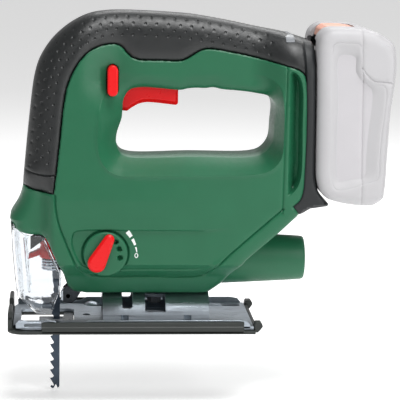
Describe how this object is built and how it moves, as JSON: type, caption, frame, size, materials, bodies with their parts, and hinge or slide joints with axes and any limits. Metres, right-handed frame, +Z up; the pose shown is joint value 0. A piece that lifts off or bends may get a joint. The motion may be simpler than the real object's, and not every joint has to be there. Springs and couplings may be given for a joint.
{
  "type": "jigsaw power tool",
  "caption": "Cordless jigsaw with a closed D-handle, tilting base plate, reciprocating blade, clear chip guard and slide-on battery pack.",
  "frame": {"origin": "on the flat underside of the base, in the tool's middle plane, half way along the base; the base tilts about the X axis through it", "axes": "+Z up from the base towards the handle, -X towards the blade end, +X towards the battery, Y across the tool"},
  "size_m": [0.2445, 0.078, 0.2457],
  "materials": {
    "green_plastic": "fine matt moulded",
    "soft_grip": "soft satin with dimples",
    "black_plastic": "matt moulded",
    "shoe_plastic": "satin moulded",
    "red_plastic": "satin gloss moulded",
    "lens_plastic": "frosted",
    "clear_plastic": "clear polished",
    "bright_steel": "ground",
    "pressed_steel": "zinc-plated pressing",
    "dark_steel": "black oxide",
    "blade_steel": "blued with ground teeth",
    "motor_iron": "laminated iron and varnished copper",
    "cast_aluminium": "die cast",
    "brass_contact": "stamped",
    "circuit_board": "soldermask",
    "lead_cover": "insulated wire",
    "pack_plastic": "pale matt moulded",
    "pack_button_plastic": "pale matt moulded",
    "cell_sleeve": "shrink sleeve over a metal can"
  },
  "bodies": {
    "root": {"left_shell": "green_plastic", "right_shell": "green_plastic", "dust_port": "green_plastic", "left_grip": "soft_grip", "right_grip": "soft_grip", "housing_screw_1": "dark_steel", "housing_screw_2": "dark_steel", "housing_screw_3": "dark_steel", "housing_screw_4": "dark_steel", "housing_screw_5": "dark_steel", "housing_screw_6": "dark_steel", "status_lens": "lens_plastic", "bay_frame": "black_plastic", "terminal_block": "brass_contact", "motor_can": "bright_steel", "motor_end_cap": "black_plastic", "gear_plate": "cast_aluminium", "gear_axle": "bright_steel", "carriage_pin": "bright_steel", "lever_pin": "bright_steel", "trigger_switch": "black_plastic", "control_board": "circuit_board", "supply_lead": "lead_cover", "switch_lead": "lead_cover", "clamp_screw": "dark_steel", "clamp_plate": "bright_steel"},
    "rotor": {"armature": "motor_iron", "fan": "black_plastic", "pinion": "bright_steel"},
    "gear": {"drive_gear": "bright_steel", "crank_pin": "bright_steel"},
    "carriage": {"carriage": "cast_aluminium"},
    "plunger": {"plunger": "bright_steel", "yoke": "bright_steel", "blade_clamp": "dark_steel", "clamp_spring": "bright_steel", "saw_blade": "blade_steel"},
    "release": {"release_lever": "red_plastic"},
    "roller_arm": {"roller_lever": "dark_steel", "roller_pin": "bright_steel"},
    "roller": {"guide_roller": "bright_steel"},
    "trigger": {"trigger": "red_plastic"},
    "lock": {"lock_bar": "red_plastic"},
    "selector": {"selector_lever": "red_plastic", "selector_shaft": "dark_steel"},
    "base": {"base_plate": "pressed_steel", "bevel_bracket": "pressed_steel", "overshoe": "shoe_plastic", "splinter_guard": "lens_plastic"},
    "guard": {"chip_guard": "clear_plastic"},
    "battery": {"pack_front_case": "pack_plastic", "pack_rear_case": "pack_plastic", "cell_pair_1": "cell_sleeve", "cell_pair_2": "cell_sleeve", "cell_pair_3": "cell_sleeve", "cell_pair_4": "cell_sleeve", "cell_pair_5": "cell_sleeve"},
    "pack_button": {"pack_button": "pack_button_plastic"}
  },
  "joints": [
    {"name": "plunger_slide", "type": "slide", "parent": "carriage", "child": "plunger", "axis": [0, 0, 1], "range_m": [-0.01, 0.01]},
    {"name": "gear_spin", "type": "hinge", "parent": "root", "child": "gear", "pos_m": [-0.0255, 0, 0.104], "axis": [1, 0, 0], "continuous": true},
    {"name": "rotor_spin", "type": "hinge", "parent": "root", "child": "rotor", "pos_m": [0.01, 0, 0.076], "axis": [1, 0, 0], "continuous": true},
    {"name": "carriage_swing", "type": "hinge", "parent": "root", "child": "carriage", "pos_m": [-0.0597, 0, 0.1307], "axis": [0, 1, 0], "range_deg": [0, 1.5], "stiffness_Nm_per_rad": 10, "springref_deg": -1.72},
    {"name": "roller_swing", "type": "hinge", "parent": "root", "child": "roller_arm", "pos_m": [-0.033, 0, 0.05], "axis": [0, 1, 0], "range_deg": [0, 5.3]},
    {"name": "roller_spin", "type": "hinge", "parent": "roller_arm", "child": "roller", "pos_m": [-0.042, 0, 0.0175], "axis": [0, 1, 0], "continuous": true},
    {"name": "release_turn", "type": "hinge", "parent": "plunger", "child": "release", "pos_m": [-0.0505, 0, 0.0498], "axis": [0, 0, 1], "range_deg": [0, 40], "stiffness_Nm_per_rad": 0.08, "springref_deg": -11.46},
    {"name": "trigger_press", "type": "slide", "parent": "root", "child": "trigger", "axis": [0, 0, 1], "range_m": [0, 0.005], "stiffness_N_per_m": 1200, "springref_m": -0.002},
    {"name": "lock_press", "type": "slide", "parent": "root", "child": "lock", "axis": [0, 1, 0], "range_m": [0, 0.004], "stiffness_N_per_m": 900, "springref_m": -0.002},
    {"name": "selector_turn", "type": "hinge", "parent": "root", "child": "selector", "pos_m": [-0.0244, -0.035, 0.0451], "axis": [0, 1, 0], "range_deg": [0, 50]},
    {"name": "base_tilt", "type": "hinge", "parent": "root", "child": "base", "pos_m": [0, 0, 0], "axis": [1, 0, 0], "range_deg": [-45, 45]},
    {"name": "guard_slide", "type": "slide", "parent": "root", "child": "guard", "axis": [-1, 0, 0], "range_m": [0, 0.036]},
    {"name": "battery_slide", "type": "slide", "parent": "root", "child": "battery", "axis": [0, 0, 1], "range_m": [0, 0.11]},
    {"name": "pack_button_press", "type": "slide", "parent": "battery", "child": "pack_button", "axis": [0, 0, -1], "range_m": [0, 0.0025], "stiffness_N_per_m": 900, "springref_m": -0.002}
  ],
  "couplings": [
    {"joint": "gear_spin", "follows": "plunger_slide", "rad_per_m": 157.08},
    {"joint": "rotor_spin", "follows": "plunger_slide", "rad_per_m": -942.48},
    {"joint": "roller_swing", "follows": "carriage_swing", "ratio": 3.48}
  ]
}
